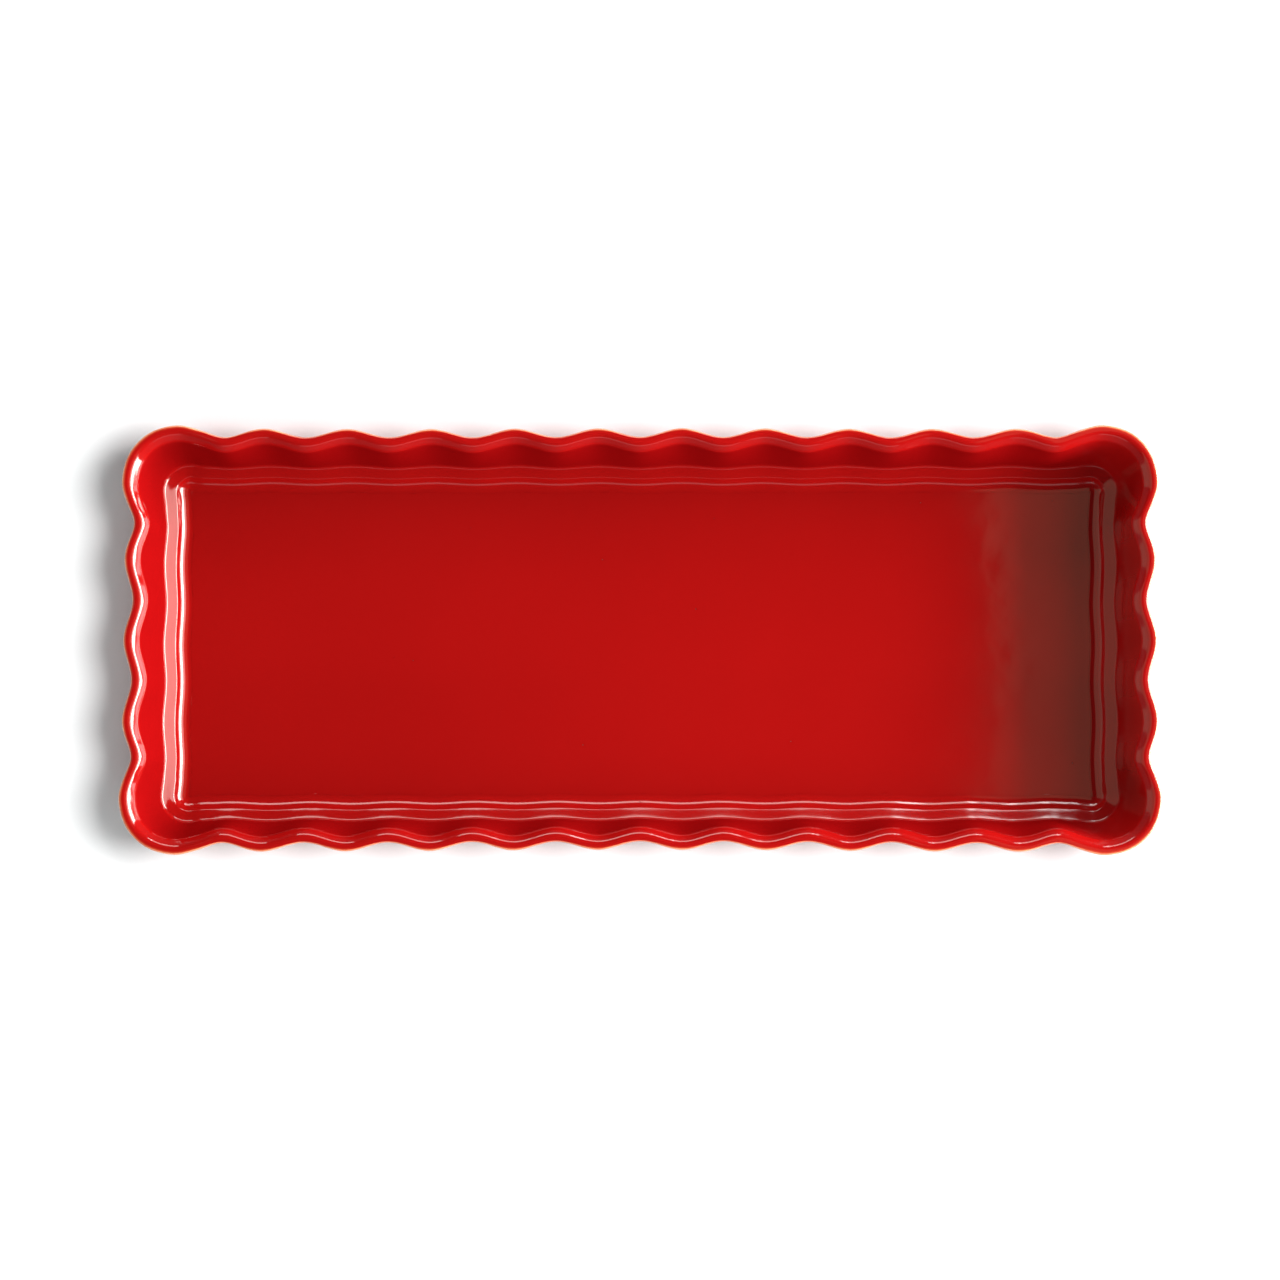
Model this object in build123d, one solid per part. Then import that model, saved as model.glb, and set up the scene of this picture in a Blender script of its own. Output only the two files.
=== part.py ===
"""Fluted rectangular tart dish of glazed stoneware, in millimetres.

The dish is one pressed and fired piece of clay. A coloured glaze covers its inside, its rim and its outer
wall down to a line just above the foot. The foot ring is bare clay, because it stands on the kiln shelf. The
shallow recess inside the foot has a glaze panel of its own, which the bare ring keeps apart from the rest.

+Z is up, +X runs along the long side, and the origin is the centre of the plane that the foot stands on.
"""

from build123d import *
import math
import os

# Overall size, over the corner lobes.
LENGTH = 360.0
WIDTH = 149.0
HEIGHT = 35.0

# Flutes: a wave in the wall, drawn either side of its mean line. A valley stands at the middle of each long
# side and a lobe at the middle of each short side.
LONG_PITCH = 29.05
SHORT_PITCH = 27.8
LONG_PITCHES_TO_CORNER = 5.0
SHORT_PITCHES_TO_CORNER = 1.5
RIM_FLUTE = 1.5
BASE_FLUTE = 0.3
FLUTES_FULL_Z = 33.0
FLUTES_FADE_OUT_Z = 9.0

# Corner lobes: a round of the mean line, which the flutes push outwards.
CORNER_RADIUS = 19.0
CORNER_PUSH = 1.45
CORNER_SWELL = 0.2
CORNER_ANGLES = (102.0, 85.0, 65.0, 45.0, 25.0, 5.0, -12.0)

# Wall section, as insets and heights. An inset runs inwards from the mean line of the rim's outer edge.
# The rim has a tight outer edge, a crest, a broad round to a short bevel, and a turn into the wall.
RIM_OUTER_ROUND = 0.85
RIM_SHOULDER_INSET = 3.1
RIM_SHOULDER_ROUND = 3.0
RIM_BEVEL_RUN = 2.3
RIM_BEVEL_ROUND = 2.0
BASE_CORNER_INSET = 4.4
BASE_CORNER_Z = 5.0
BASE_CORNER_ROUND = 4.0
FOOT_INSET = 9.0
FOOT_ROUND = 0.9
FOOT_TOP_Z = 2.5
FOOT_WIDTH = 4.5
RECESS_DEPTH = 1.5
RECESS_WALL_RUN = 1.2

# Inside: the flutes end at a narrow ledge, and a cove leads from the ledge to the flat floor.
FLOOR_Z = 6.5
LEDGE_INSET = 9.7
LEDGE_Z = 11.2
LEDGE_EDGE_INSET = 13.5
LEDGE_EDGE_Z = 9.35
COVE_INSET = 16.0
FLOOR_EDGE_INSET = 18.5
LEDGE_ROUND = 1.4
LEDGE_EDGE_ROUND = 0.8
COVE_ROUND = 5.0

# Glaze.
GLAZE = 0.4
GLAZE_LINE_Z = 1.4
PANEL_GLAZE = 0.3
PANEL_MARGIN = 0.8
PANEL_EDGE_RUN = 0.5

# Points of an outline to one pitch of its flutes, and the places along an arc of the section that the wall's
# surface is drawn through.
STEPS_PER_PITCH = 4
ARC_SHARES = (0.0, 0.34, 0.67, 1.0)


def section_bands(points, rounds):
    """A rounded section line as bands, one for each straight or arc of it.

    A band is a list of (place, direction) stations. It starts where the band before it ended.
    """
    bands = []
    for edge in FilletPolyline(*points, radius=rounds).edges():
        shares = ARC_SHARES if edge.geom_type == GeomType.CIRCLE else (0.0, 1.0)
        bands.append([(edge.position_at(share), edge.tangent_at(share)) for share in shares])
    return bands


# The glazed section, as (inset, z): up the outer wall from the glaze line, over the rim, down to the floor.
GLAZED_BANDS = section_bands(
    [
        (FOOT_INSET - GLAZE, GLAZE_LINE_Z),
        (FOOT_INSET - GLAZE, FOOT_TOP_Z),
        (BASE_CORNER_INSET, BASE_CORNER_Z),
        (0.0, HEIGHT),
        (RIM_SHOULDER_INSET, HEIGHT),
        (RIM_SHOULDER_INSET + RIM_BEVEL_RUN, HEIGHT - RIM_BEVEL_RUN),
        (LEDGE_INSET, LEDGE_Z),
        (LEDGE_EDGE_INSET, LEDGE_EDGE_Z),
        (COVE_INSET, FLOOR_Z),
        (FLOOR_EDGE_INSET, FLOOR_Z),
    ],
    [
        FOOT_ROUND,
        BASE_CORNER_ROUND,
        RIM_OUTER_ROUND,
        RIM_SHOULDER_ROUND,
        RIM_BEVEL_ROUND,
        LEDGE_ROUND,
        LEDGE_EDGE_ROUND,
        COVE_ROUND,
    ],
)

# The mean line stands inside the overall size by what a corner lobe reaches past it.
RIM_EDGE_INSET = min(station[0].X for band in GLAZED_BANDS for station in band)
CORNER_REACH = (CORNER_PUSH + CORNER_SWELL) * RIM_FLUTE - RIM_EDGE_INSET
MEAN_HALF_LENGTH = LENGTH / 2 - CORNER_REACH
MEAN_HALF_WIDTH = WIDTH / 2 - CORNER_REACH


def side_wave(pitch, pitches, mean, flute, starts_at_valley):
    """(along, across) points of one half side, from its middle to its last valley."""
    steps = round(pitches * STEPS_PER_PITCH)
    sign = -1 if starts_at_valley else 1
    return [
        (k * pitch / STEPS_PER_PITCH, mean + sign * flute * math.cos(k * 2 * math.pi / STEPS_PER_PITCH))
        for k in range(steps + 1)
    ]


def between(a, b):
    """The point halfway from a to b."""
    return ((a[0] + b[0]) / 2, (a[1] + b[1]) / 2)


def corner_point(angle, inset, flute):
    """A point of the corner lobe. Past a quarter turn the inset runs square to the side beside it."""
    radius = CORNER_RADIUS + CORNER_SWELL * flute
    centre_x = MEAN_HALF_LENGTH - CORNER_RADIUS + CORNER_PUSH * flute
    centre_y = MEAN_HALF_WIDTH - CORNER_RADIUS + CORNER_PUSH * flute
    inwards = min(math.pi / 2, max(0.0, angle))
    return (
        centre_x + radius * math.cos(angle) - inset * math.cos(inwards),
        centre_y + radius * math.sin(angle) - inset * math.sin(inwards),
    )


def outline_quarter(inset, flute):
    """Points of the fluted outline from the middle of a long side to the middle of a short side."""
    half_x = MEAN_HALF_LENGTH - inset
    half_y = MEAN_HALF_WIDTH - inset
    long_side = side_wave(LONG_PITCH, LONG_PITCHES_TO_CORNER, half_y, flute, True)
    short_side = side_wave(SHORT_PITCH, SHORT_PITCHES_TO_CORNER, half_x, flute, False)
    short_side = [(x, y) for y, x in reversed(short_side)]
    corner = [corner_point(math.radians(angle), inset, flute) for angle in CORNER_ANGLES]
    into_corner = between(long_side[-1], corner[0])
    out_of_corner = between(corner[-1], short_side[0])
    return [*long_side, into_corner, *corner, out_of_corner, *short_side]


def outline_points(inset, flute):
    """The whole outline, clockwise from the middle of the +Y side, with no point twice."""
    first = outline_quarter(inset, flute)
    second = [(x, -y) for x, y in reversed(first)]
    half = first + second[1:]
    other_half = [(-x, y) for x, y in reversed(half)]
    return half + other_half[1:-1]


def spline_parameters():
    """One set of spline parameters for every outline, from the chords of a middling one."""
    points = outline_points(FLOOR_EDGE_INSET / 2, RIM_FLUTE / 2)
    points.append(points[0])
    lengths = [0.0]
    for a, b in zip(points, points[1:]):
        lengths.append(lengths[-1] + math.dist(a, b))
    return lengths


PARAMETERS = spline_parameters()


def flute_at(z):
    """Depth of the flutes at height z: full at the rim, fading evenly to the base."""
    rise = (z - FLUTES_FADE_OUT_Z) / (FLUTES_FULL_Z - FLUTES_FADE_OUT_Z)
    return BASE_FLUTE + (RIM_FLUTE - BASE_FLUTE) * min(1.0, max(0.0, rise))


def outline(inset, z, flute):
    """The fluted outline at height z, as one closed smooth wire."""
    points = [(x, y, z) for x, y in outline_points(inset, flute)]
    return Wire([Edge.make_spline(points, periodic=True, parameters=PARAMETERS)])


def outline_under(station, depth):
    """The outline at a station, moved under the surface by depth. The clay lies to the direction's right."""
    place, direction = station
    inset = place.X + direction.Y * depth
    z = place.Y - direction.X * depth
    return outline(inset, z, flute_at(place.Y))


def strip(rings):
    """The surface through a short row of outlines: straight between two, curved through more."""
    return Shell.make_loft(rings, ruled=len(rings) == 2).faces()


def pressed_surface(depth):
    """The dish's outer wall, rim and inside, moved under by depth: its faces and its lower edge."""
    lower_edge = outline_under(GLAZED_BANDS[0][0], depth)
    start = lower_edge
    faces = []
    for band in GLAZED_BANDS:
        rings = [start, *(outline_under(station, depth) for station in band[1:])]
        faces.extend(strip(rings))
        start = rings[-1]
    return [*faces, Face(start)], lower_edge


def flat_ring(outer, inner):
    """The flat face between two outlines at one height."""
    return Face(outer, [inner])


def solid_of(faces):
    """One closed solid from the faces of its skin."""
    made = Solid(Shell(faces))
    return made if made.volume > 0 else Solid(Shell([-face for face in faces]))


def clay_body():
    """The fired dish: fluted wall, rim, floor and the bare foot ring with its shallow recess."""
    covered, glaze_line = pressed_surface(GLAZE)
    recess_inset = FOOT_INSET + FOOT_WIDTH
    foot_outer = outline(FOOT_INSET, 0.0, BASE_FLUTE)
    foot_inner = outline(recess_inset, 0.0, BASE_FLUTE)
    recess_edge = outline(recess_inset + RECESS_WALL_RUN, RECESS_DEPTH, BASE_FLUTE)
    return solid_of(
        [
            *covered,
            *strip([foot_outer, glaze_line]),
            flat_ring(foot_outer, foot_inner),
            *strip([foot_inner, recess_edge]),
            Face(recess_edge),
        ]
    )


def glaze_coat():
    """The main coat: inside, rim and outer wall, down to the glaze line above the foot."""
    covered, clay_edge = pressed_surface(GLAZE)
    glazed, glaze_edge = pressed_surface(0.0)
    return solid_of([*covered, *glazed, flat_ring(glaze_edge, clay_edge)])


def base_glaze_panel():
    """The glaze inside the foot ring's recess, with a tapered edge that stops short of the bare ring."""
    inset = FOOT_INSET + FOOT_WIDTH + RECESS_WALL_RUN + PANEL_MARGIN
    top = outline(inset, RECESS_DEPTH, BASE_FLUTE)
    bottom = outline(inset + PANEL_EDGE_RUN, RECESS_DEPTH - PANEL_GLAZE, BASE_FLUTE)
    return solid_of([*strip([bottom, top]), Face(top), Face(bottom)])


def main():
    """Writes each piece to parts/."""
    os.makedirs("parts", exist_ok=True)
    pieces = {
        "clay_body": clay_body(),
        "glaze_coat": glaze_coat(),
        "base_glaze_panel": base_glaze_panel(),
    }
    for name, piece in pieces.items():
        export_step(piece, f"parts/{name}.step")


main()
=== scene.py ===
"""Studio scene of a slim fluted tart dish in red-glazed stoneware.

The clay and its glaze are laid as fine meshes over the solid model's plan and section, with the small
unevenness that pressing, glazing and firing leave. Lengths are in metres, +Z is up, +X runs along the
long side, and the dish stands on z = 0.
"""

import logging
import math
from dataclasses import dataclass, field
from enum import Enum

import bmesh
import bpy
import numpy as np
from mathutils import Matrix, Vector


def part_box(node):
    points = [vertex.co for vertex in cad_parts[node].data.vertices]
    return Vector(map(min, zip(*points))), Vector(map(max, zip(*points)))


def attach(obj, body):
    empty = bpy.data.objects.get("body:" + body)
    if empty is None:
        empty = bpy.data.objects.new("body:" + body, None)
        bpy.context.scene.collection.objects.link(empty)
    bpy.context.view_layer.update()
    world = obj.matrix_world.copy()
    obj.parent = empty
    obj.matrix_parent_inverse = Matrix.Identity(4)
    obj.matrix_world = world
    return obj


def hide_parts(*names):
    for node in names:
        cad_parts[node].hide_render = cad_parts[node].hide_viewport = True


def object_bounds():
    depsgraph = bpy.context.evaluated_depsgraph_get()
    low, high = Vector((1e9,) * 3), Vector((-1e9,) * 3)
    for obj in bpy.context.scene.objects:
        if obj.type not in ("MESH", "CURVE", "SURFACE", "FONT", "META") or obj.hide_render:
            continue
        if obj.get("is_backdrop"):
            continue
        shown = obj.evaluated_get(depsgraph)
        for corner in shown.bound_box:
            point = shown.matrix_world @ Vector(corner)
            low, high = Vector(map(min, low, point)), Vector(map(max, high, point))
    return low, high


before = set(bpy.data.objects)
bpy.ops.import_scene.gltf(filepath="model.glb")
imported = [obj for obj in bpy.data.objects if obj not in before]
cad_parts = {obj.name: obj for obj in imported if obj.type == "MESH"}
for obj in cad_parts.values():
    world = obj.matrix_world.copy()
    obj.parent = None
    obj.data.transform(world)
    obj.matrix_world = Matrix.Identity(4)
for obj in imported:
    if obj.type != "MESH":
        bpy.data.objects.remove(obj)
CAD_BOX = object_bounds()

MM = 0.001
LOG = logging.getLogger("tart_dish")

Colour = tuple[float, float, float, float]
Span = tuple[float, float]
Field = np.ndarray | float
Places = list[tuple[Vector, Vector]]
Socket = bpy.types.NodeSocket


class Slot(Enum):
    """Names for the two finishes."""

    CLAY = "bare_stoneware"
    GLAZE = "red_glaze"


class Node(Enum):
    """The solid model's pieces."""

    CLAY = "clay_body"
    GLAZE = "glaze_coat"
    PANEL = "base_glaze_panel"


# --- Section and plan ---


@dataclass(frozen=True)
class Station:
    """A place on a section line: where it is, which way the line runs and how far along it lies."""

    inset: float
    z: float
    run: tuple[float, float]
    along: float

    def under(self, depth: float) -> tuple[float, float]:
        """The (inset, z) that lies this deep under the line, on its clay side."""
        return self.inset + self.run[1] * depth, self.z - self.run[0] * depth


@dataclass(frozen=True)
class RoundedLine:
    """A section line of straight runs with a round at each corner.

    Attributes:
        corners: The (inset, z) corner points, ends included. The clay lies to the right of the way along.
        rounds: A radius for each inner corner.
    """

    corners: tuple[tuple[float, float], ...]
    rounds: tuple[float, ...]

    def stations(self, run_step: float, turn_step: float) -> list[Station]:
        """Walks the line.

        Args:
            run_step: The longest step along a straight run.
            turn_step: The largest turn of one step round a corner, in radians.

        Returns:
            The stations in order, with both ends.
        """
        places: Places = []
        points = [Vector(corner) for corner in self.corners]
        start = points[0]
        for before, corner, after, radius in zip(points, points[1:], points[2:], self.rounds):
            coming = (corner - before).normalized()
            going = (after - corner).normalized()
            turn = coming.angle_signed(going)
            reach = radius * math.tan(abs(turn) / 2)
            self._straight(places, start, corner - coming * reach, run_step)
            self._arc(places, corner - coming * reach, coming, turn, radius, turn_step)
            start = corner + going * reach
        self._straight(places, start, points[-1], run_step)
        places.append((points[-1], (points[-1] - start).normalized()))
        return self._measured(places)

    @staticmethod
    def _straight(places: Places, start: Vector, end: Vector, step: float) -> None:
        """Adds the stations of a straight run, without its end."""
        count = max(1, math.ceil((end - start).length / step))
        direction = (end - start).normalized()
        places.extend((start.lerp(end, k / count), direction) for k in range(count))

    @staticmethod
    def _arc(
        places: Places, start: Vector, coming: Vector, turn: float, radius: float, step: float
    ) -> None:
        """Adds the stations of a round, without its end. A positive turn is clockwise."""
        side = Vector((coming.y, -coming.x)) * math.copysign(1.0, turn)
        centre = start + side * radius
        count = max(2, math.ceil(abs(turn) / step))
        for k in range(count):
            angle = abs(turn) * k / count
            spoke = -side * math.cos(angle) + coming * math.sin(angle)
            heading = coming * math.cos(angle) + side * math.sin(angle)
            places.append((centre + spoke * radius, heading))

    @staticmethod
    def _measured(places: Places) -> list[Station]:
        """The places as stations, each with its distance along the line."""
        stations = []
        along = 0.0
        last = places[0][0]
        for place, run in places:
            along += (place - last).length
            last = place
            stations.append(Station(place.x, place.y, (run.x, run.y), along))
        return stations


@dataclass(frozen=True)
class DishSection:
    """The dish's wall, cut through: foot, outer wall, rim, inner wall, ledge, cove and floor.

    An inset runs inwards from the mean line of the rim's outer edge, and a corner is an (inset, z) pair.

    Attributes:
        glaze_line: Where the bare foot ends and the glaze begins.
        cove: Inset of the corner between ledge and floor.
        flute_full_z: The height over which the flutes are at their deepest.
        flute_gone_z: The height under which little is left of them.
        rounds: The radius at each corner, from the glaze line to the floor.
        foot_rounds: The same from the recess to the outside of the foot.
    """

    height: float
    glaze_line: float
    floor: float = 6.5 * MM
    glaze: float = 0.4 * MM
    foot_inset: float = 9.0 * MM
    foot_width: float = 4.5 * MM
    foot_top: float = 2.5 * MM
    base_corner: tuple[float, float] = (4.4 * MM, 5.0 * MM)
    rim_shoulder: float = 2.8 * MM
    rim_bevel: float = 2.5 * MM
    ledge: tuple[float, float] = (9.7 * MM, 11.2 * MM)
    ledge_edge: tuple[float, float] = (13.5 * MM, 9.35 * MM)
    cove: float = 16.0 * MM
    floor_edge: float = 18.5 * MM
    flute_full_z: float = 33.0 * MM
    flute_gone_z: float = 9.0 * MM
    flute_rim: float = 1.5 * MM
    flute_base: float = 0.3 * MM
    rounds: tuple[float, ...] = tuple(r * MM for r in (0.9, 4.0, 0.85, 3.0, 2.0, 1.4, 0.8, 5.0))
    foot_rounds: tuple[float, ...] = (0.5 * MM, 0.4 * MM, 0.35 * MM)

    def glazed(self) -> RoundedLine:
        """The glaze's outside: from the glaze line up, over the rim and down to the floor."""
        foot = self.foot_inset - self.glaze
        corners = (
            (foot, self.glaze_line),
            (foot, self.foot_top),
            self.base_corner,
            (0.0, self.height),
            (self.rim_shoulder, self.height),
            (self.rim_shoulder + self.rim_bevel, self.height - self.rim_bevel),
            self.ledge,
            self.ledge_edge,
            (self.cove, self.floor),
            (self.floor_edge, self.floor),
        )
        return RoundedLine(corners, self.rounds)

    def bare(self, recess: float, recess_wall: float) -> RoundedLine:
        """The bare clay: from the recess under the dish, round the foot ring and up to the glaze line.

        Args:
            recess: How high the recess stands over the ground.
            recess_wall: How far its sloping wall runs.

        Returns:
            The section line, with the foot ring's edges worn a little round.
        """
        inner = self.foot_inset + self.foot_width
        corners = (
            (inner + 2 * recess_wall, recess),
            (inner + recess_wall, recess),
            (inner, 0.0),
            (self.foot_inset, 0.0),
            (self.foot_inset, self.glaze_line),
        )
        return RoundedLine(corners, self.foot_rounds)

    def flute(self, z: float) -> float:
        """Depth of the flutes at height z."""
        rise = (z - self.flute_gone_z) / (self.flute_full_z - self.flute_gone_z)
        return self.flute_base + (self.flute_rim - self.flute_base) * min(1.0, max(0.0, rise))


@dataclass(frozen=True)
class FlutedPlan:
    """The dish seen from above: a rounded rectangle with a wave along its sides and a lobe at each corner.

    Attributes:
        half_length: Half the mean line's length, along X.
        half_width: Half the mean line's width, along Y.
    """

    half_length: float
    half_width: float
    long_pitch: float = 29.05 * MM
    short_pitch: float = 27.8 * MM
    long_pitches: float = 5.0
    short_pitches: float = 1.5
    corner: float = 19.0 * MM
    corner_push: float = 1.45
    corner_swell: float = 0.2
    corner_middle: float = 45.0
    corner_angles: tuple[float, ...] = (102.0, 85.0, 65.0, corner_middle, 25.0, 5.0, -12.0)
    steps_per_pitch: int = 4

    def quarter(self, inset: float, flute: float) -> list[tuple[float, float]]:
        """Guide points from the middle of a long side to the middle of a short side."""
        side_x = self.half_length - inset
        side_y = self.half_width - inset
        step = 2 * math.pi / self.steps_per_pitch
        long_count = round(self.long_pitches * self.steps_per_pitch)
        short_count = round(self.short_pitches * self.steps_per_pitch)
        long_side = [
            (k * self.long_pitch / self.steps_per_pitch, side_y - flute * math.cos(k * step))
            for k in range(long_count + 1)
        ]
        short_side = [
            (side_x + flute * math.cos(k * step), k * self.short_pitch / self.steps_per_pitch)
            for k in range(short_count, -1, -1)
        ]
        radius = self.corner + self.corner_swell * flute
        centre_x = self.half_length - self.corner + self.corner_push * flute
        centre_y = self.half_width - self.corner + self.corner_push * flute
        lobe = []
        for angle in self.corner_angles:
            spoke = math.radians(angle)
            inwards = min(math.pi / 2, max(0.0, spoke))
            x = centre_x + radius * math.cos(spoke) - inset * math.cos(inwards)
            y = centre_y + radius * math.sin(spoke) - inset * math.sin(inwards)
            lobe.append((x, y))
        before = self._between(long_side[-1], lobe[0])
        after = self._between(lobe[-1], short_side[0])
        return [*long_side, before, *lobe, after, *short_side]

    @staticmethod
    def _between(a: tuple[float, float], b: tuple[float, float]) -> tuple[float, float]:
        """The point halfway from a to b."""
        return (a[0] + b[0]) / 2, (a[1] + b[1]) / 2

    def guide(self, inset: float, flute: float) -> np.ndarray:
        """Every guide point once round, clockwise from the middle of the +Y side."""
        first = self.quarter(inset, flute)
        half = first + [(x, -y) for x, y in reversed(first)][1:]
        return np.array(half + [(-x, y) for x, y in reversed(half)][1:-1])

    def corner_index(self) -> int:
        """Which guide point is the middle of the first corner lobe."""
        long_count = round(self.long_pitches * self.steps_per_pitch)
        return long_count + 2 + self.corner_angles.index(self.corner_middle)


def closed_spline(knots: np.ndarray, values: np.ndarray, samples: np.ndarray) -> np.ndarray:
    """A smooth closed curve through the values.

    Args:
        knots: Where each value lies along the curve, with one more knot where it closes.
        values: One row per value.
        samples: Where to read the curve.

    Returns:
        One row per sample.
    """
    count = len(values)
    gap = np.diff(knots)
    system = np.zeros((count, count))
    right = np.zeros_like(values)
    for k in range(count):
        before, after = (k - 1) % count, (k + 1) % count
        system[k, before] += gap[before]
        system[k, k] += 2 * (gap[before] + gap[k])
        system[k, after] += gap[k]
        right[k] = 6 * ((values[after] - values[k]) / gap[k] - (values[k] - values[before]) / gap[before])
    bend = np.linalg.solve(system, right)
    span = np.clip(np.searchsorted(knots, samples, side="right") - 1, 0, count - 1)
    width = gap[span][:, None]
    low = (samples - knots[span])[:, None]
    high = width - low
    following = (span + 1) % count
    return (
        (bend[span] * high**3 + bend[following] * low**3) / (6 * width)
        + (values[span] / width - bend[span] * width / 6) * high
        + (values[following] / width - bend[following] * width / 6) * low
    )


class Columns:
    """The plan cut into even columns, so that any ring of the dish is a sum of three fixed curves."""

    LOBE_LIMITS = (-1.0, 1.4)

    def __init__(self, plan: FlutedPlan, section: DishSection, step: float) -> None:
        """Cuts the plan.

        Args:
            plan: The dish's plan.
            section: Its section, for a ring of middling size that sets the spacing.
            step: The wanted width of a column.
        """
        ring = plan.guide(section.floor_edge / 2, section.flute_rim / 2)
        closed = np.vstack([ring, ring[:1]])
        knots = np.concatenate([[0.0], np.cumsum(np.linalg.norm(np.diff(closed, axis=0), axis=1))])
        first = plan.corner_index()
        half = len(ring) // 2
        marks = [first, half - first, half + first, len(ring) - first]
        starts = [knots[mark] for mark in marks] + [knots[first] + knots[-1]]
        self.short = self._even((starts[1] - starts[0]) / step)
        self.long = self._even((starts[2] - starts[1]) / step)
        counts = [self.short, self.long, self.short, self.long]
        runs = zip(starts, starts[1:], counts)
        samples = [np.linspace(start, end, count, endpoint=False) for start, end, count in runs]
        samples = np.mod(np.concatenate(samples), knots[-1])
        unit = 1.0 * MM
        plain = plan.guide(0.0, 0.0)
        self.base = closed_spline(knots, plain, samples)
        self.per_inset = closed_spline(knots, (plan.guide(unit, 0.0) - plain) / unit, samples)
        self.per_flute = closed_spline(knots, (plan.guide(0.0, unit) - plain) / unit, samples)
        self.count = len(samples)
        self.around = np.arange(self.count) / self.count * 2 * math.pi
        outward = -self.per_inset / np.linalg.norm(self.per_inset, axis=1, keepdims=True)
        self.lobe = np.clip(np.sum(self.per_flute * outward, axis=1), *self.LOBE_LIMITS)

    @staticmethod
    def _even(wanted: float) -> int:
        """The nearest even count."""
        return 2 * round(wanted / 2)

    def ring(self, inset: Field, flute: Field) -> np.ndarray:
        """The (x, y) of every column at this inset and flute depth."""
        inset = np.broadcast_to(inset, self.count)[:, None]
        flute = np.broadcast_to(flute, self.count)[:, None]
        return self.base + self.per_inset * inset + self.per_flute * flute


# --- The unevenness of a pressed and fired dish ---


@dataclass(frozen=True)
class Wave:
    """A sine wave. A few of different lengths, added up, look like chance.

    Attributes:
        rate: How fast it turns, in radians to a metre, or in turns where it runs round the dish.
        phase: Where it starts, in radians.
        size: Its height.
    """

    rate: float
    phase: float
    size: float = 1.0

    def at(self, place: np.ndarray) -> np.ndarray:
        """Its height at each place."""
        return self.size * np.sin(self.rate * place + self.phase)


def added_up(waves: tuple[Wave, ...], place: np.ndarray) -> np.ndarray:
    """The waves added up, and brought between -1 and 1."""
    return sum(wave.at(place) for wave in waves) / sum(wave.size for wave in waves)


def clamped(share: Field) -> Field:
    """The share, kept between 0 and 1."""
    return np.clip(share, 0.0, 1.0)


@dataclass(frozen=True)
class HandOfTheMaker:
    """How far this dish strays from its drawing. Each amount is under a millimetre.

    Attributes:
        bow: How far the middle of a long side is drawn in by the kiln.
        bow_at_foot: What is left of the bow at the foot, as a share.
        bend: How far the middle of the whole dish is bent towards +Y.
        bend_at_foot: What is left of the bend just over the foot, as a share.
        bend_fade: The height over which the bend comes in.
        sway: How the long sides wander, and end_sway the short ones.
        rim_lift: How far the rim rises and falls.
        lift_rates: How fast the slanting wave of the lift turns along X and along Y.
        floor_swell: How far the floor rises and falls.
        swell_fade: The height over which the swell comes in.
        swell_rise: How steeply it comes in from the wall.
        flute_spread: How much deeper or shallower one flute is than the next, as a share.
    """

    plan: FlutedPlan
    height: float
    bow: float = 0.45 * MM
    bow_at_foot: float = 0.35
    bend: float = 0.50 * MM
    bend_at_foot: float = 0.3
    bend_fade: float = 2.0 * MM
    sway: Wave = Wave(34.0, 1.3, 0.12 * MM)
    end_sway: Wave = Wave(40.0, 0.0, 0.25 * MM)
    rim_lift: float = 0.14 * MM
    lift_along: Wave = Wave(21.0, 0.4)
    lift_slant: Wave = Wave(1.0, 1.9)
    lift_rates: tuple[float, float] = (-9.0, 47.0)
    floor_swell: float = 0.06 * MM
    swell_along: Wave = Wave(31.0, 2.0)
    swell_across: Wave = Wave(52.0, 0.5 + math.pi / 2)
    swell_fade: float = 4.0 * MM
    swell_rise: float = 3.0
    flute_spread: float = 0.05
    flute_waves: tuple[Wave, ...] = (Wave(5, 0.7), Wave(13, 2.1), Wave(29, 4.0, 0.8))

    def flute_share(self, around: np.ndarray) -> np.ndarray:
        """How deep the flutes are at each column, as a share of their drawn depth."""
        return 1.0 + self.flute_spread * added_up(self.flute_waves, around)

    def shaped(self, points: np.ndarray) -> np.ndarray:
        """The points of the drawing, moved to where they are on this dish. The foot stays put."""
        x, y, z = points[:, 0], points[:, 1], points[:, 2]
        rise = clamped(z / self.height)
        across = x / self.plan.half_length
        along = y / self.plan.half_width
        middle = 1 - across**2
        drawn_in = self.bow * middle * along * (self.bow_at_foot + (1 - self.bow_at_foot) * rise)
        bent = self.bend * middle * (self.bend_at_foot + (1 - self.bend_at_foot) * rise)
        slant = self.lift_rates[0] * x + self.lift_rates[1] * y
        lift = self.rim_lift * (self.lift_along.at(x) + self.lift_slant.at(slant)) / 2
        swell = self.floor_swell * self.swell_along.at(x) * self.swell_across.at(y)
        inside = clamped(1.0 - np.maximum(np.abs(across), np.abs(along)))
        swell_share = clamped(self.swell_rise * inside) * clamped(z / self.swell_fade)
        new_x = x - self.end_sway.at(y) * across * rise
        new_y = y - drawn_in + bent * clamped(z / self.bend_fade) + self.sway.at(x) * rise * np.abs(along)
        return np.column_stack([new_x, new_y, z + lift * rise**2 + swell * swell_share])


# --- Meshes ---


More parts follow.
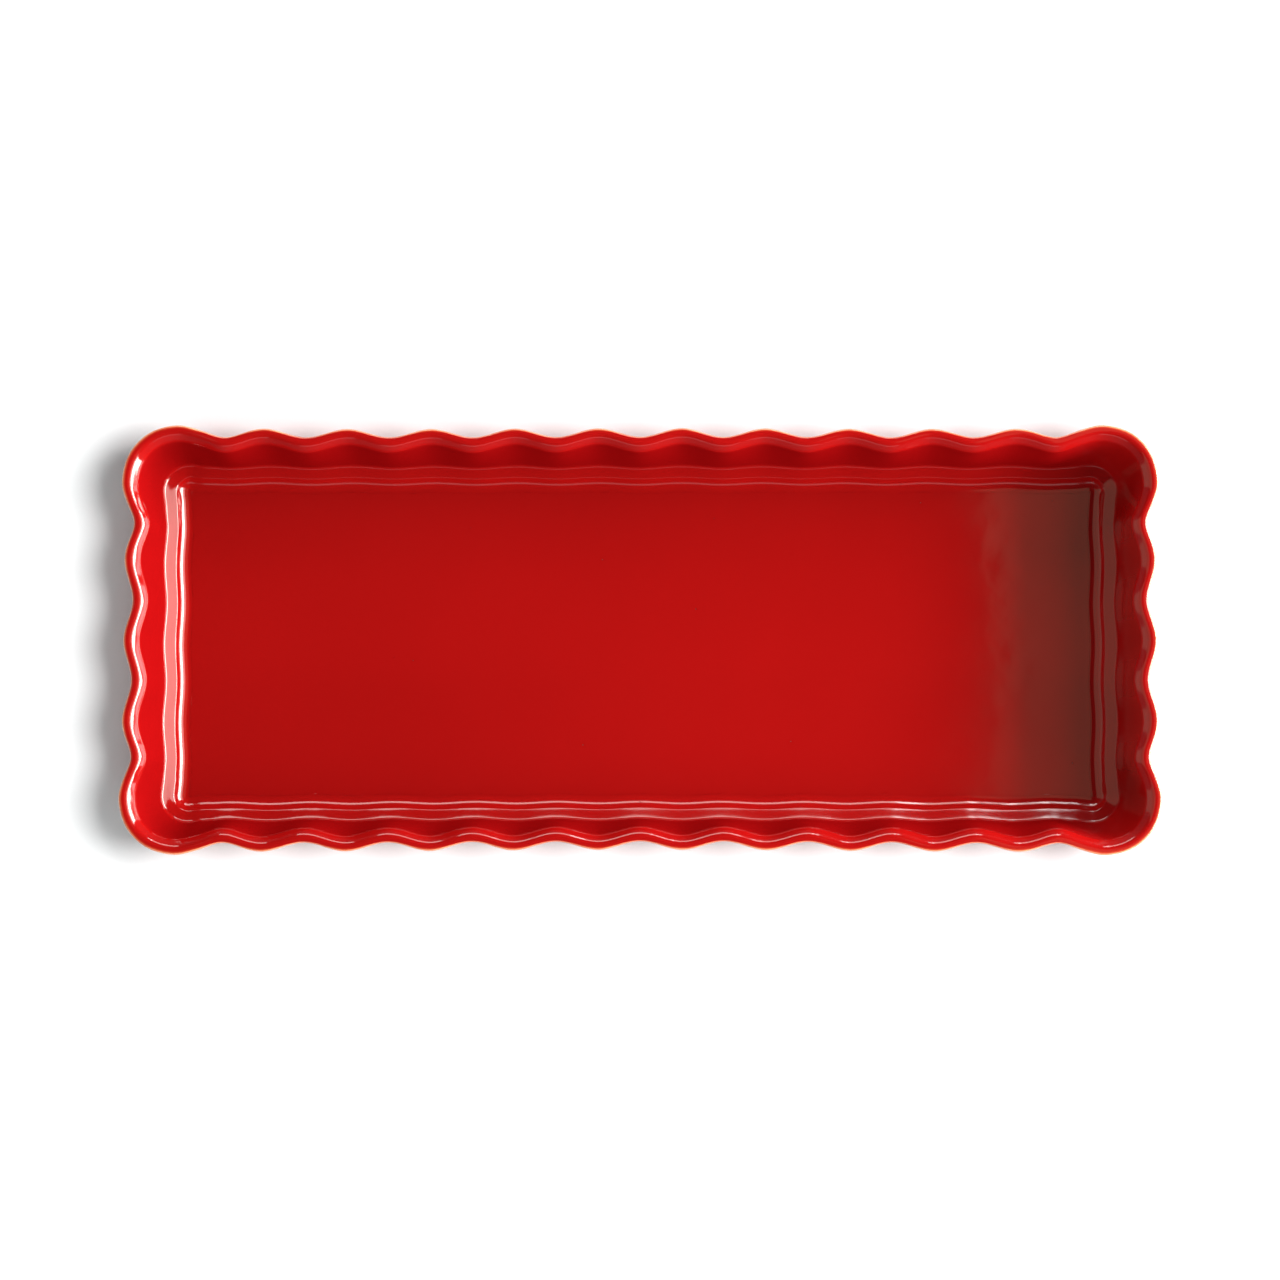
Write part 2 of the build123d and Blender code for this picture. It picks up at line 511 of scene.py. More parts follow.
class Skin:
    """A mesh in the making: rings of columns, joined row by row, with a grid across each open end."""

    def __init__(self, columns: Columns) -> None:
        """Starts with nothing but the columns that every ring has."""
        self.columns = columns
        self.points: list[np.ndarray] = []
        self.thin: list[np.ndarray] = []
        self.satin_and_shade: list[np.ndarray] = []
        self.faces: list[list[int]] = []
        self.total = 0

    def add(self, points: np.ndarray, thin: Field = 0.0, satin_and_shade: Field = 0.0) -> np.ndarray:
        """Adds points with how thin and how satin the glaze is at each, and how much painted shade darkens
        it, and gives their numbers.
        """
        self.points.append(points)
        self.thin.append(np.broadcast_to(thin, len(points)))
        self.satin_and_shade.append(np.broadcast_to(satin_and_shade, len(points)))
        numbers = np.arange(self.total, self.total + len(points))
        self.total += len(points)
        return numbers

    def ring(self, xy: np.ndarray, z: Field, thin: Field = 0.0, satin_and_shade: Field = 0.0) -> np.ndarray:
        """Adds a ring and gives its point numbers."""
        return self.add(np.column_stack([xy, np.broadcast_to(z, len(xy))]), thin, satin_and_shade)

    def join(self, rings: list[np.ndarray]) -> None:
        """Adds the faces between each ring and the next."""
        for lower, upper in zip(rings, rings[1:]):
            corners = (lower, np.roll(lower, -1), np.roll(upper, -1), upper)
            self.faces.extend(np.column_stack(corners).tolist())

    def close(self, ring: np.ndarray) -> None:
        """Fills a ring, which starts in the middle of the +X +Y corner, with an even grid."""
        short, long = self.columns.short, self.columns.long
        points = np.vstack(self.points)[ring]
        right = points[: short + 1]
        bottom = points[short : short + long + 1]
        left = points[short + long : 2 * short + long + 1][::-1]
        top = np.vstack([points[2 * short + long :], points[:1]])[::-1]
        u = np.linspace(0.0, 1.0, long + 1)[1:-1, None, None]
        v = np.linspace(0.0, 1.0, short + 1)[None, 1:-1, None]
        sides = (1 - u) * right[None, 1:-1] + u * left[None, 1:-1]
        ends = (1 - v) * top[1:-1, None] + v * bottom[1:-1, None]
        corners = (1 - u) * ((1 - v) * right[0] + v * right[-1]) + u * ((1 - v) * left[0] + v * left[-1])
        inner = (sides + ends - corners).reshape(-1, 3)
        numbers = self.add(inner).reshape(long - 1, short - 1)
        grid = np.zeros((long + 1, short + 1), dtype=int)
        grid[1:-1, 1:-1] = numbers
        grid[0, :] = ring[: short + 1]
        grid[:, -1] = ring[short : short + long + 1]
        grid[-1, :] = ring[short + long : 2 * short + long + 1][::-1]
        grid[:, 0] = np.append(ring[2 * short + long :], ring[0])[::-1]
        a, b, c, d = grid[:-1, :-1], grid[1:, :-1], grid[1:, 1:], grid[:-1, 1:]
        self.faces.extend(np.stack([a, b, c, d], axis=-1).reshape(-1, 4).tolist())

    def finished(self, name: str, hand: HandOfTheMaker) -> bpy.types.Object:
        """Makes the object.

        Args:
            name: The piece's name.
            hand: The unevenness to give it.

        Returns:
            A smooth, closed mesh whose faces point outwards.
        """
        points = hand.shaped(np.vstack(self.points))
        mesh = bpy.data.meshes.new(name)
        mesh.from_pydata(points.tolist(), [], self.faces)
        worker = bmesh.new()
        worker.from_mesh(mesh)
        bmesh.ops.recalc_face_normals(worker, faces=worker.faces)
        worker.to_mesh(mesh)
        worker.free()
        mesh.shade_smooth()
        for label, values in ((RedGlaze.THIN, self.thin), (RedGlaze.SATIN_AND_SHADE, self.satin_and_shade)):
            layer = mesh.attributes.new(label, "FLOAT", "POINT")
            layer.data.foreach_set("value", np.concatenate(values).astype(np.float32))
        piece = bpy.data.objects.new(name, mesh)
        bpy.context.scene.collection.objects.link(piece)
        return piece


# --- Shader writing ---


class End(Enum):
    """The node that a tree ends with."""

    MATERIAL = "ShaderNodeOutputMaterial"
    WORLD = "ShaderNodeOutputWorld"


class Value:
    """A number that varies over a surface. Python's operators on it add Math nodes."""

    def __init__(self, desk: "ShaderDesk", socket: Socket) -> None:
        """Wraps an output socket of the desk's tree."""
        self.desk = desk
        self.socket = socket

    def _maths(self, operation: str, *terms: "Value | float") -> "Value":
        """A Math node on these terms."""
        inputs = dict(enumerate(terms))
        return self.desk.node("ShaderNodeMath", {"operation": operation}, inputs).value()

    def __add__(self, other: "Value | float") -> "Value":
        """self + other."""
        return self._maths("ADD", self, other)

    __radd__ = __add__

    def __mul__(self, other: "Value | float") -> "Value":
        """self * other."""
        return self._maths("MULTIPLY", self, other)

    __rmul__ = __mul__

    def __sub__(self, other: "Value | float") -> "Value":
        """self - other."""
        return self._maths("SUBTRACT", self, other)

    def __rsub__(self, other: float) -> "Value":
        """other - self."""
        return self._maths("SUBTRACT", other, self)

    def between(self, low: float, high: float) -> "Value":
        """0 below low, 1 above high and a smooth rise between them."""
        settings = {"interpolation_type": "SMOOTHSTEP"}
        inputs = {"Value": self, "From Min": low, "From Max": high}
        return self.desk.node("ShaderNodeMapRange", settings, inputs).value("Result")


@dataclass(frozen=True)
class Grain:
    """A kind of soft noise.

    Attributes:
        scale: Features to a metre.
        detail: How many finer layers it has.
        roughness: How strong the finer layers are.
    """

    scale: float
    detail: float
    roughness: float


@dataclass(frozen=True)
class Dots:
    """A kind of scattered round dots.

    Attributes:
        scale: Cells to a metre.
        size: A dot's radius, as a share of a cell.
        kept: The share of the cells that have a dot.
        core: The solid middle of a dot, as a share of its radius.
    """

    scale: float
    size: float
    kept: float
    core: float = 0.3


@dataclass(frozen=True)
class Added:
    """A node that has been added, and where to take its outputs from."""

    desk: "ShaderDesk"
    node: bpy.types.Node

    def value(self, output: str | int = 0) -> Value:
        """One of its outputs, as a number to reckon with."""
        return Value(self.desk, self.node.outputs[output])

    def out(self, output: str | int = 0) -> Socket:
        """One of its outputs, as a plain socket."""
        return self.node.outputs[output]


class ShaderDesk:
    """Builds the node tree of one material, or of the world."""

    DRAW_EDGE = 0.01

    def __init__(self, owner: bpy.types.Material | bpy.types.World) -> None:
        """Empties the tree of this material or world and starts on it."""
        owner.use_nodes = True
        self.tree = owner.node_tree
        self.tree.nodes.clear()
        self.places = self.node("ShaderNodeTexCoord", {}, {})

    def node(self, kind: str, settings: dict[str, object], inputs: dict[str | int, object]) -> Added:
        """Adds a node.

        Args:
            kind: The node's type.
            settings: Its properties, set before its sockets.
            inputs: A value, a Value or a socket for each input named or numbered.

        Returns:
            The node, ready to be read from.
        """
        made = self.tree.nodes.new(kind)
        for name, setting in settings.items():
            setattr(made, name, setting)
        for key, given in inputs.items():
            source = given.socket if isinstance(given, Value) else given
            if isinstance(source, Socket):
                self.tree.links.new(source, made.inputs[key])
            else:
                made.inputs[key].default_value = source
        return Added(self, made)

    def noise(self, grain: Grain) -> Value:
        """Soft noise about 0.5."""
        inputs = {
            "Vector": self.places.out("Object"),
            "Scale": grain.scale,
            "Detail": grain.detail,
            "Roughness": grain.roughness,
        }
        return self.node("ShaderNodeTexNoise", {}, inputs).value("Fac")

    def dots(self, dots: Dots) -> Value:
        """Scattered round dots: 1 at a dot's middle and 0 outside it."""
        inputs = {"Vector": self.places.out("Object"), "Scale": dots.scale}
        cells = self.node("ShaderNodeTexVoronoi", {}, inputs)
        draw = self.node("ShaderNodeSeparateColor", {}, {0: cells.out("Color")}).value("Red")
        chosen = draw.between(1.0 - dots.kept, 1.0 - dots.kept + self.DRAW_EDGE)
        return (1.0 - cells.value("Distance").between(dots.core * dots.size, dots.size)) * chosen

    def painted(self, value: str) -> Value:
        """A number that the mesh carries."""
        return self.node("ShaderNodeAttribute", {"attribute_name": value}, {}).value("Fac")

    def blend(self, mask: Value, under: object, over: object) -> Socket:
        """The colour under where the mask is 0, and the colour over where it is 1."""
        settings = {"data_type": "RGBA"}
        inputs = {0: mask, 6: under, 7: over}
        return self.node("ShaderNodeMix", settings, inputs).out(2)

    def relief(self, height: Value, distance: float, strength: float) -> Socket:
        """A normal that shows this height as relief."""
        inputs = {"Height": height, "Distance": distance, "Strength": strength}
        return self.node("ShaderNodeBump", {}, inputs).out("Normal")

    def shader(self, inputs: dict[str | int, object]) -> Socket:
        """A Principled shader with these inputs."""
        return self.node("ShaderNodeBsdfPrincipled", {}, inputs).out("BSDF")

    def mixed(self, mask: Value, under: Socket, over: Socket) -> Socket:
        """The shader under where the mask is 0, and the shader over where it is 1."""
        return self.node("ShaderNodeMixShader", {}, {0: mask, 1: under, 2: over}).out()

    def ended(self, end: End, shader: Socket) -> None:
        """Ends the tree with this shader."""
        self.node(end.value, {}, {"Surface": shader})


@dataclass(frozen=True)
class RedGlaze:
    """Deep red gloss glaze that breaks to orange where it runs thin over an edge.

    Attributes:
        deep: Its colour where it lies thick.
        dense: Its colour where it pools a little darker.
        satin_shaded_wall: Painted shade: a darker red laid on the upright wall inside the dish, to tone
            down the key light that falls on it.
        thin_edge: Its colour where it is drawn thin over an edge.
        bare_edge: The clay that all but shows through at the thinnest.
        satin_gloss: How much gloss is left where the glaze has gone satin on an upright wall.
        mottle: The broad patches of deep and dense glaze.
        streak: What frays the thin edge.
        ripple: The long waves of its surface.
        peel: The fine waves of its surface.
        polish: The roughness of its smoothest parts, which the other dulling shares add to.
    """

    THIN = "thin"
    SATIN_AND_SHADE = "satin_and_shade"

    deep: Colour = (0.232, 0.0027, 0.0026, 1.0)
    dense: Colour = (0.218, 0.0025, 0.0024, 1.0)
    satin_shaded_wall: Colour = (0.166, 0.0016, 0.0020, 1.0)
    thin_edge: Colour = (0.34, 0.036, 0.014, 1.0)
    bare_edge: Colour = (0.55, 0.25, 0.14, 1.0)
    pinhole: Colour = (0.06, 0.004, 0.004, 1.0)
    ior: float = 1.56
    satin_gloss: float = 0.0
    mottle: Grain = Grain(9.0, 3.0, 0.5)
    streak: Grain = Grain(160.0, 3.0, 0.6)
    pits: Dots = Dots(150.0, 0.055, 0.10)
    ripple: Grain = Grain(75.0, 1.0, 0.4)
    peel: Grain = Grain(420.0, 1.0, 0.4)
    patches: Span = (0.30, 0.70)
    edge_from: Span = (0.30, 0.85)
    bare_from: Span = (0.72, 1.10)
    edge_fray: float = 0.35
    bare_fray: float = 0.30
    polish: float = 0.055
    dulled: Span = (0.35, 0.75)
    mottle_dulls: float = 0.05
    edge_dulls: float = 0.10
    pit_dulls: float = 0.3
    ripple_height: float = 0.8
    peel_height: float = 0.10
    pit_depth: float = 0.6
    relief: float = 0.16 * MM
    relief_strength: float = 0.5

    def material(self) -> bpy.types.Material:
        """The glaze as a material."""
        material = bpy.data.materials.new("red_gloss_glaze")
        desk = ShaderDesk(material)
        thin = desk.painted(self.THIN)
        # The satin mask also marks where painted shade darkens the upright inner wall.
        satin_shaded_wall = desk.painted(self.SATIN_AND_SHADE)
        mottle = desk.noise(self.mottle)
        stray = desk.noise(self.streak) - 0.5
        pits = desk.dots(self.pits)
        edge = (thin + stray * self.edge_fray).between(*self.edge_from)
        bare = (thin + stray * self.bare_fray).between(*self.bare_from)
        colour = desk.blend(mottle.between(*self.patches), self.dense, self.deep)
        # Painted shade: the upright inner walls that the key light falls on are darkened.
        colour = desk.blend(satin_shaded_wall, colour, self.satin_shaded_wall)
        colour = desk.blend(edge, colour, self.thin_edge)
        colour = desk.blend(bare, colour, self.bare_edge)
        colour = desk.blend(pits, colour, self.pinhole)
        roughness = self.polish + self.mottle_dulls * mottle.between(*self.dulled)
        roughness = roughness + self.edge_dulls * edge + self.pit_dulls * pits
        flow = desk.noise(self.ripple) * self.ripple_height + desk.noise(self.peel) * self.peel_height
        look = {
            "Base Color": colour,
            "Roughness": roughness,
            "Normal": desk.relief(flow - pits * self.pit_depth, self.relief, self.relief_strength),
            "IOR": self.ior,
        }
        gloss = desk.shader(look)
        satin_and_shade = desk.shader({**look, "Specular IOR Level": self.satin_gloss})
        desk.ended(End.MATERIAL, desk.mixed(satin_shaded_wall, gloss, satin_and_shade))
        return material


@dataclass(frozen=True)
class BareClay:
    """Unglazed buff stoneware, ground flat where it stands.

    Attributes:
        body: The fired clay's colour.
        toasted: Its warmer colour where the flame has caught it.
        grog: The dark grains in it.
        tooth: The fine tooth of its surface.
    """

    body: Colour = (0.60, 0.44, 0.30, 1.0)
    toasted: Colour = (0.44, 0.26, 0.15, 1.0)
    grog: Colour = (0.16, 0.09, 0.06, 1.0)
    flame: Grain = Grain(35.0, 4.0, 0.6)
    tooth: Grain = Grain(1400.0, 3.0, 0.65)
    specks: Dots = Dots(700.0, 0.22, 0.16)
    toasted_from: Span = (0.42, 0.72)
    tooth_from: Span = (0.45, 0.80)
    tooth_colour: float = 0.25
    roughness: float = 0.72
    tooth_dulls: float = 0.2
    speck_height: float = 0.3
    relief: float = 0.10 * MM
    relief_strength: float = 0.7

    def material(self) -> bpy.types.Material:
        """The clay as a material."""
        material = bpy.data.materials.new("bare_stoneware")
        desk = ShaderDesk(material)
        tooth = desk.noise(self.tooth)
        specks = desk.dots(self.specks)
        toast = desk.noise(self.flame).between(*self.toasted_from)
        colour = desk.blend(toast, self.body, self.toasted)
        colour = desk.blend(tooth.between(*self.tooth_from) * self.tooth_colour, colour, self.toasted)
        colour = desk.blend(specks, colour, self.grog)
        look = {
            "Base Color": colour,
            "Roughness": self.roughness + self.tooth_dulls * tooth,
            "Normal": desk.relief(tooth + specks * self.speck_height, self.relief, self.relief_strength),
        }
        desk.ended(End.MATERIAL, desk.shader(look))
        return material


@dataclass(frozen=True)
class StudioPaper:
    """Plain white background paper."""

    sheet: Colour = (0.90, 0.90, 0.90, 1.0)
    fibre: Colour = (0.87, 0.87, 0.87, 1.0)
    fibres: Grain = Grain(900.0, 3.0, 0.6)
    roughness: float = 0.95

    def material(self) -> bpy.types.Material:
        """The paper as a material."""
        material = bpy.data.materials.new("studio_paper")
        desk = ShaderDesk(material)
        look = {
            "Base Color": desk.blend(desk.noise(self.fibres), self.sheet, self.fibre),
            "Roughness": self.roughness,
            "Specular IOR Level": 0.0,
        }
        desk.ended(End.MATERIAL, desk.shader(look))
        return material


# --- The pieces ---


@dataclass
class Dish:
    """What the three pieces share: section, plan, columns and the maker's hand."""

    FINE = 1.15 * MM
    COARSE = 2.4 * MM
    SOUNDING = (1.0 * MM, math.radians(10))

    section: DishSection
    plan: FlutedPlan
    hand: HandOfTheMaker
    fine: Columns
    coarse: Columns

    @classmethod
    def from_frame(cls) -> "Dish":
        """Takes the overall size and the glaze line from the solid model."""
        low, high = (Vector(corner) for corner in CAD_BOX)
        glaze_low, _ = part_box(Node.GLAZE.value)
        section = DishSection(height=high.z, glaze_line=glaze_low[2])
        stations = section.glazed().stations(*cls.SOUNDING)
        rim_inset = min(station.inset for station in stations)
        reach = (FlutedPlan.corner_push + FlutedPlan.corner_swell) * section.flute_rim - rim_inset
        plan = FlutedPlan((high.x - low.x) / 2 - reach, (high.y - low.y) / 2 - reach)
        fine, coarse = (Columns(plan, section, step) for step in (cls.FINE, cls.COARSE))
        return cls(section, plan, HandOfTheMaker(plan, high.z), fine, coarse)


class Dressed:
    """A piece that wears one finish all over."""

    finish: RedGlaze | BareClay

    def dress(self, piece: bpy.types.Object) -> None:
        """Gives the piece its finish."""
        piece.data.materials.append(self.finish.material())


@dataclass
class GlazeCoat(Dressed):
    """The main coat of glaze: outer wall, rim and inside, with a soft bead along its lower edge.

    Attributes:
        run_step: The longest step along the section's straights.
        turn_step: The largest turn of one step round the section's corners.
        bead: How far up the bead at the glaze line reaches.
        rooted: How deep the coat's underside lies, which is a little into the clay.
        hidden_step: How many times coarser the coat's underside is.
        wander: How far the glaze line rises and falls.
        line_waves: The shape of that line.
        line_fade: How far up it is felt, in beads.
        thin_reach: How far the thin edge reaches each side of the rim's outer edge.
        lobe_widens: How much further the orange edge band reaches on a lobe, as a share.
        satin_shade_fade: Over what height the upright wall's satin sheen and painted shade come in.
        satin_shade_ends: Where along the dish the satin and the painted shade start to go, as a share of
            half its length.
        satin_shade_end_fade: Over how much of that length they go.
    """

    dish: Dish
    run_step: float = 1.3 * MM
    turn_step: float = math.radians(6)
    bead: float = 0.9 * MM
    rooted: float = 0.46 * MM
    hidden_step: float = 3.0
    wander: float = 0.28 * MM
    line_waves: tuple[Wave, ...] = (Wave(9, 0.3), Wave(23, 1.7, 0.8), Wave(61, 5.1, 0.6))
    line_fade: float = 3.0
    thin_reach: float = 0.62 * MM
    lobe_widens: float = 0.45
    satin_shade_fade: float = 1.5 * MM
    satin_shade_ends: float = 0.84
    satin_shade_end_fade: float = 0.10
    name: str = "glaze_coat_fired"
    finish: RedGlaze = field(default_factory=RedGlaze)

    def build(self) -> bpy.types.Object:
        """Builds the coat's mesh and rides it on the dish."""
        section, columns = self.dish.section, self.dish.fine
        share = self.dish.hand.flute_share(columns.around)
        outside = section.glazed().stations(self.run_step, self.turn_step)
        steps = (self.hidden_step * self.run_step, self.hidden_step * self.turn_step)
        underside = section.glazed().stations(*steps)
        edge = self._outer_edge(outside)
        skin = Skin(columns)
        rings = []
        for station in outside:
            inset, z = station.under(self._bead_depth(station.along))
            flute = section.flute(station.z) * share
            height = z + self._line_wander(station.along)
            thin = self._thinness(station, edge)
            rings.append(skin.ring(columns.ring(inset, flute), height, thin, self._satin_and_shade(station)))
        skin.join(rings)
        skin.close(rings[-1])
        hidden = [rings[0]]
        for station in underside[1:]:
            inset, z = station.under(self.rooted)
            hidden.append(skin.ring(columns.ring(inset, section.flute(station.z) * share), z))
        skin.join(hidden)
        skin.close(hidden[-1])
        piece = skin.finished(self.name, self.dish.hand)
        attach(piece, "root")
        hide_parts(Node.GLAZE.value)
        return piece

    def _outer_edge(self, stations: list[Station]) -> float:
        """How far along the section the outermost and highest turn of the rim lies."""
        return min(stations, key=lambda station: station.inset - station.z).along

    def _bead_depth(self, along: float) -> float:
        """Depth of the coat's face under its drawn line: it rounds down into the clay at its lower edge."""
        if along >= self.bead:
            return 0.0
        climb = 1 - along / self.bead
        return self.rooted * (1 - math.sqrt(1 - climb**2))

    def _line_wander(self, along: float) -> np.ndarray:
        """How far the glaze line strays up or down at each column."""
        waves = added_up(self.line_waves, self.dish.fine.around)
        fade = max(0.0, 1 - along / (self.line_fade * self.bead))
        return self.wander * (1 + waves) / 2 * fade

    def _thinness(self, station: Station, edge: float) -> np.ndarray:
        """How thin the glaze is at each column: most over the rim's outer edge, over a wider band on a
        lobe.
        """
        reach = self.thin_reach * (1.0 + self.lobe_widens * self.dish.fine.lobe)
        return np.exp(-(((station.along - edge) / reach) ** 2))

    def _satin_and_shade(self, station: Station) -> np.ndarray:
        """How satin the glaze is, and how much painted shade darkens it, at each column: only on the
        upright wall inside, short of its +X end, which the key light leaves in shade.
        """
        section = self.dish.section
        top = section.height - section.rim_bevel
        below_top = clamped((top - station.z) / self.satin_shade_fade)
        above_foot = clamped((station.z - section.ledge[1]) / self.satin_shade_fade)
        inside = float(station.inset > section.rim_shoulder)
        # Painted shade: the walls that the key light falls on are darkened; the +X wall, already in shade,
        # is left out.
        along = self.dish.fine.base[:, 0] / self.dish.plan.half_length
        ended = clamped((along - self.satin_shade_ends) / self.satin_shade_end_fade)
        return inside * below_top * above_foot * (1.0 - ended)


@dataclass
class ClayBody(Dressed):
    """The fired clay under the glaze, and the bare foot ring that the dish stands on.

    Attributes:
        recess_wall: How far the sloping wall of the recess under the dish runs.
        run_step: The longest step along the section's straights, where glaze covers it.
        bare_step: The same where it is bare.
        turn_step: The largest turn of one step round the section's corners.
    """

    dish: Dish
    recess_wall: float = 1.2 * MM
    run_step: float = 1.6 * MM
    bare_step: float = 0.4 * MM
    turn_step: float = math.radians(22)
    name: str = "clay_body_fired"
    finish: BareClay = field(default_factory=BareClay)

    def build(self) -> bpy.types.Object:
        """Builds the clay's mesh and rides it on the dish."""
        section, columns = self.dish.section, self.dish.coarse
        share = self.dish.hand.flute_share(columns.around)
        _, panel_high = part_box(Node.PANEL.value)
        bare = section.bare(panel_high[2], self.recess_wall).stations(self.bare_step, self.turn_step)
        covered = section.glazed().stations(self.run_step, self.turn_step)
        line = [(station, station.under(0.0)) for station in bare[:-1]]
        line += [(station, station.under(section.glaze)) for station in covered]
        skin = Skin(columns)
        rings = [
            skin.ring(columns.ring(inset, section.flute(station.z) * share), z)
            for station, (inset, z) in line
        ]
        skin.join(rings)
        skin.close(rings[0])
        skin.close(rings[-1])
        piece = skin.finished(self.name, self.dish.hand)
        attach(piece, "root")
        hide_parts(Node.CLAY.value)
        return piece


@dataclass
class BaseGlazePanel(Dressed):
    """The glaze in the recess under the dish, with a soft, slightly wandering edge.

    Attributes:
        edge_round: How far in its edge is rounded off.
        edge_rings: How many rings that round takes.
        edge_thin: How thin the glaze is at the edge.
        wander: How far the edge strays inwards.
        edge_waves: The shape of that edge.
    """

    dish: Dish
    edge_round: float = 0.55 * MM
    edge_rings: int = 7
    edge_thin: float = 0.6
    wander: float = 0.35 * MM
    edge_waves: tuple[Wave, ...] = (Wave(11, 0.9), Wave(37, 3.3))
    name: str = "base_glaze_fired"
    finish: RedGlaze = field(default_factory=RedGlaze)

    def build(self) -> bpy.types.Object:
        """Builds the panel's mesh and rides it on the dish."""
        section, columns = self.dish.section, self.dish.coarse
        low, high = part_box(Node.PANEL.value)
        thickness = high[2] - low[2]
        inset = self.dish.plan.half_width + section.flute_base - high[1]
        stray = self.wander * (1 + added_up(self.edge_waves, columns.around)) / 2
        skin = Skin(columns)
        rings = []
        for angle in np.linspace(0.0, math.pi / 2, self.edge_rings):
            drawn = inset + stray + self.edge_round * (1 - math.cos(angle))
            drop = thickness * math.sin(angle)
            thin = self.edge_thin * math.cos(angle) ** 2
            rings.append(skin.ring(columns.ring(drawn, section.flute_base), high[2] - drop, thin))
        skin.join(rings)
        skin.close(rings[0])
        skin.close(rings[-1])
        piece = skin.finished(self.name, self.dish.hand)
        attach(piece, "root")
        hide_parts(Node.PANEL.value)
        return piece


# --- The studio ---


class Receiver(Enum):
    """What a light shines on. The value says how its collection of receivers treats the paper."""

    DISH = "EXCLUDE"
    PAPER = "INCLUDE"


WHITE = (1.0, 1.0, 1.0)


@dataclass(frozen=True)
class Softbox:
    """A soft light that looks at the dish from one side.

    Attributes:
        bearing: Its direction from the dish, in degrees from +X towards +Y.
        low: Elevation of its lower edge, in degrees.
        high: Elevation of its upper edge, in degrees.
        width: Its width.
        radiance: How bright its face is, where 1 is paper white.
        distance: How far away it stands.
        glossy: Whether the gloss of the glaze mirrors it.
        receiver: What it shines on.
    """

    name: str
    bearing: float
    low: float
    high: float
    width: float
    radiance: float
    distance: float = 1.25
    tint: tuple[float, float, float] = WHITE
    glossy: bool = True
    receiver: Receiver = Receiver.DISH

    def build(self, aim: Vector, receivers: dict[Receiver, bpy.types.Collection]) -> bpy.types.Object:
        """Builds the light, facing the point aimed at."""
        elevation = math.radians((self.low + self.high) / 2)
        bearing = math.radians(self.bearing)
        height = 2 * self.distance * math.tan(math.radians(self.high - self.low) / 2)
        level = math.cos(elevation)
        back = Vector((math.cos(bearing) * level, math.sin(bearing) * level, math.sin(elevation)))
        lamp = bpy.data.lights.new(self.name, "AREA")
        lamp.shape = "RECTANGLE"
        lamp.size = self.width
        lamp.size_y = height
        lamp.energy = self.radiance * math.pi * self.width * height
        lamp.color = self.tint
        light = bpy.data.objects.new(self.name, lamp)
        light.location = aim + back * self.distance
        light.rotation_euler = back.to_track_quat("Z", "Y").to_euler()
        light.visible_camera = False
        light.visible_glossy = self.glossy
        light.light_linking.receiver_collection = receivers[self.receiver]
        bpy.context.scene.collection.objects.link(light)
        return light


